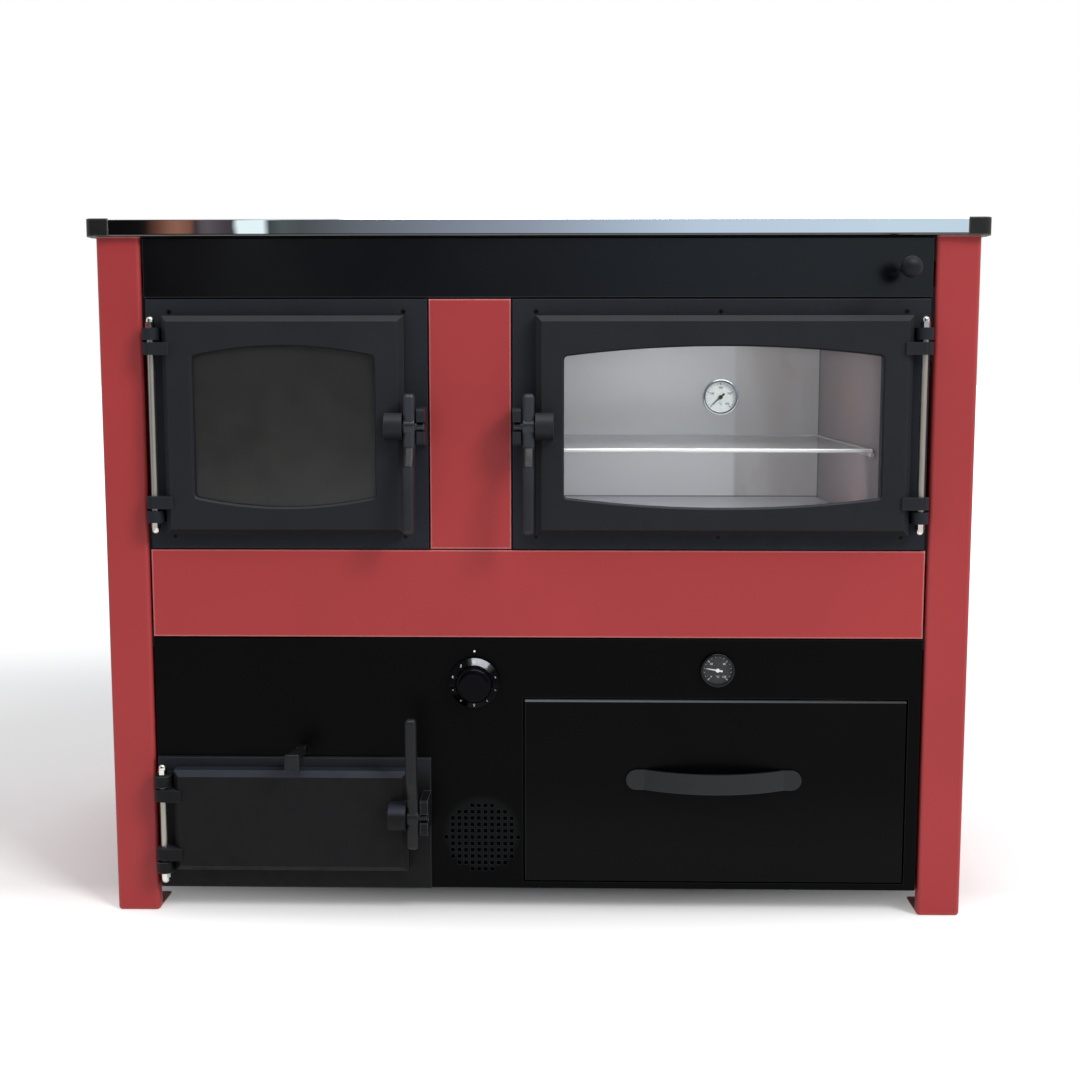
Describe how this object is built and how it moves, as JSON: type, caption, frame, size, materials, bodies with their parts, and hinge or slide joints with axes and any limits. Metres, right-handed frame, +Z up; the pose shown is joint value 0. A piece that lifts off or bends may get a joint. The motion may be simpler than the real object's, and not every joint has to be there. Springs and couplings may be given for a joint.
{
  "type": "wood cookstove",
  "caption": "Freestanding wood-fired kitchen cookstove with a glazed firebox door, a glazed oven door, an ash door, a wood drawer and a cast hob.",
  "frame": {"origin": "middle of the stove's footprint on the floor", "axes": "+Z up, +X to the viewer's right when facing the doors, the doors look towards -Y"},
  "size_m": [1.067, 0.742, 0.85],
  "materials": {
    "red_enamel": "gloss",
    "black_enamel": "gloss",
    "black_cast_iron": "satin",
    "hob_iron": "satin",
    "polished_steel": "polished",
    "oven_steel": "polished",
    "carcass_steel": "satin",
    "galvanised_steel": "matte",
    "drawer_steel": "satin",
    "handle_steel": "satin",
    "hinge_brass": "satin",
    "screw_steel": "satin",
    "gauge_chrome": "polished",
    "needle_black": "matte",
    "needle_white": "matte",
    "ceramic_glass": "gloss",
    "rope_seal": "matte",
    "firebrick": "matte",
    "black_knob": "gloss"
  },
  "bodies": {
    "stove_body": {"air_duct": "carcass_steel", "ash_box": "galvanised_steel", "ash_frame": "black_cast_iron", "ash_pan": "galvanised_steel", "base_panel": "carcass_steel", "boiler_thermometer": "gauge_chrome", "carcass_bars": "carcass_steel", "centre_strip": "red_enamel", "drawer_housing": "galvanised_steel", "firebox_frame": "black_cast_iron", "firebricks": "firebrick", "flue_collar": "black_cast_iron", "frame_screws": "screw_steel", "front_posts": "red_enamel", "grate_bed": "hob_iron", "hinge_nuts": "hinge_brass", "hinge_rods": "hinge_brass", "hob_plate": "hob_iron", "lower_front_panel": "black_enamel", "middle_band": "red_enamel", "oven_frame": "black_cast_iron", "oven_liner": "oven_steel", "oven_shelf": "polished_steel", "rear_panel": "galvanised_steel", "rear_posts": "red_enamel", "side_panels": "red_enamel", "smoke_baffle": "carcass_steel", "thermostat_body": "carcass_steel", "top_corners": "black_cast_iron", "top_rails": "polished_steel", "upper_fascia": "black_enamel", "water_jacket": "carcass_steel", "water_sockets": "galvanised_steel"},
    "firebox_door": {"firebox_door": "black_cast_iron", "firebox_glass": "ceramic_glass", "firebox_glass_retainer": "screw_steel", "firebox_gasket": "rope_seal"},
    "firebox_handle": {"firebox_handle": "handle_steel"},
    "oven_door": {"oven_door": "black_cast_iron", "oven_glass": "ceramic_glass", "oven_glass_retainer": "screw_steel", "oven_gasket": "rope_seal", "oven_thermometer": "gauge_chrome"},
    "oven_handle": {"oven_handle": "handle_steel"},
    "oven_needle": {"oven_thermometer_needle": "needle_black"},
    "ash_door": {"ash_door": "black_cast_iron", "ash_gasket": "rope_seal"},
    "ash_handle": {"ash_handle": "handle_steel"},
    "drawer": {"drawer_box": "drawer_steel", "drawer_front": "black_enamel", "drawer_handle": "handle_steel"},
    "thermostat_knob": {"thermostat_knob": "black_knob"},
    "air_flap": {"air_flap": "carcass_steel"},
    "boiler_needle": {"boiler_thermometer_needle": "needle_white"},
    "damper": {"damper_rod": "carcass_steel", "damper_knob": "black_knob"},
    "grate": {"grate": "hob_iron", "shaker_bar": "carcass_steel"},
    "hob_ring": {"hob_ring": "hob_iron"},
    "hob_lid": {"hob_lid": "hob_iron"}
  },
  "joints": [
    {"name": "firebox_door_hinge", "type": "hinge", "parent": "stove_body", "child": "firebox_door", "pos_m": [-0.4565, -0.318, 0.606], "axis": [0, 0, -1], "range_deg": [0, 110]},
    {"name": "firebox_handle_turn", "type": "hinge", "parent": "firebox_door", "child": "firebox_handle", "pos_m": [-0.148, -0.338, 0.606], "axis": [-1, 0, 0], "range_deg": [0, 45]},
    {"name": "oven_door_hinge", "type": "hinge", "parent": "stove_body", "child": "oven_door", "pos_m": [0.4565, -0.318, 0.606], "axis": [0, 0, 1], "range_deg": [0, 110]},
    {"name": "oven_handle_turn", "type": "hinge", "parent": "oven_door", "child": "oven_handle", "pos_m": [-0.008, -0.338, 0.606], "axis": [-1, 0, 0], "range_deg": [0, 45]},
    {"name": "oven_needle_turn", "type": "hinge", "parent": "oven_door", "child": "oven_needle", "pos_m": [0.2175, -0.325, 0.6405], "axis": [0, 1, 0], "range_deg": [0, 264]},
    {"name": "ash_door_hinge", "type": "hinge", "parent": "stove_body", "child": "ash_door", "pos_m": [-0.4565, -0.322, 0.119], "axis": [0, 0, -1], "range_deg": [0, 110]},
    {"name": "ash_handle_turn", "type": "hinge", "parent": "ash_door", "child": "ash_handle", "pos_m": [-0.148, -0.342, 0.135], "axis": [1, 0, 0], "range_deg": [0, 45]},
    {"name": "drawer_slide", "type": "slide", "parent": "stove_body", "child": "drawer", "axis": [0, -1, 0], "range_m": [0, 0.35]},
    {"name": "thermostat_knob_turn", "type": "hinge", "parent": "stove_body", "child": "thermostat_knob", "pos_m": [-0.0755, -0.31, 0.293], "axis": [0, 1, 0], "range_deg": [0, 300]},
    {"name": "air_flap_swing", "type": "hinge", "parent": "stove_body", "child": "air_flap", "pos_m": [-0.06725, -0.281, 0.153], "axis": [1, 0, 0], "range_deg": [0, 35]},
    {"name": "boiler_needle_turn", "type": "hinge", "parent": "stove_body", "child": "boiler_needle", "pos_m": [0.221, -0.303, 0.309], "axis": [0, 1, 0], "range_deg": [-50, 215]},
    {"name": "damper_pull", "type": "slide", "parent": "stove_body", "child": "damper", "axis": [0, -1, 0], "range_m": [0, 0.06]},
    {"name": "grate_shake", "type": "slide", "parent": "stove_body", "child": "grate", "axis": [0, -1, 0], "range_m": [0, 0.02]},
    {"name": "hob_ring_lift", "type": "slide", "parent": "stove_body", "child": "hob_ring", "axis": [0, 0, 1], "range_m": [0, 0.06]},
    {"name": "hob_lid_lift", "type": "slide", "parent": "hob_ring", "child": "hob_lid", "axis": [0, 0, 1], "range_m": [0, 0.12]}
  ],
  "couplings": [
    {"joint": "air_flap_swing", "follows": "thermostat_knob_turn", "ratio": 0.1166}
  ]
}
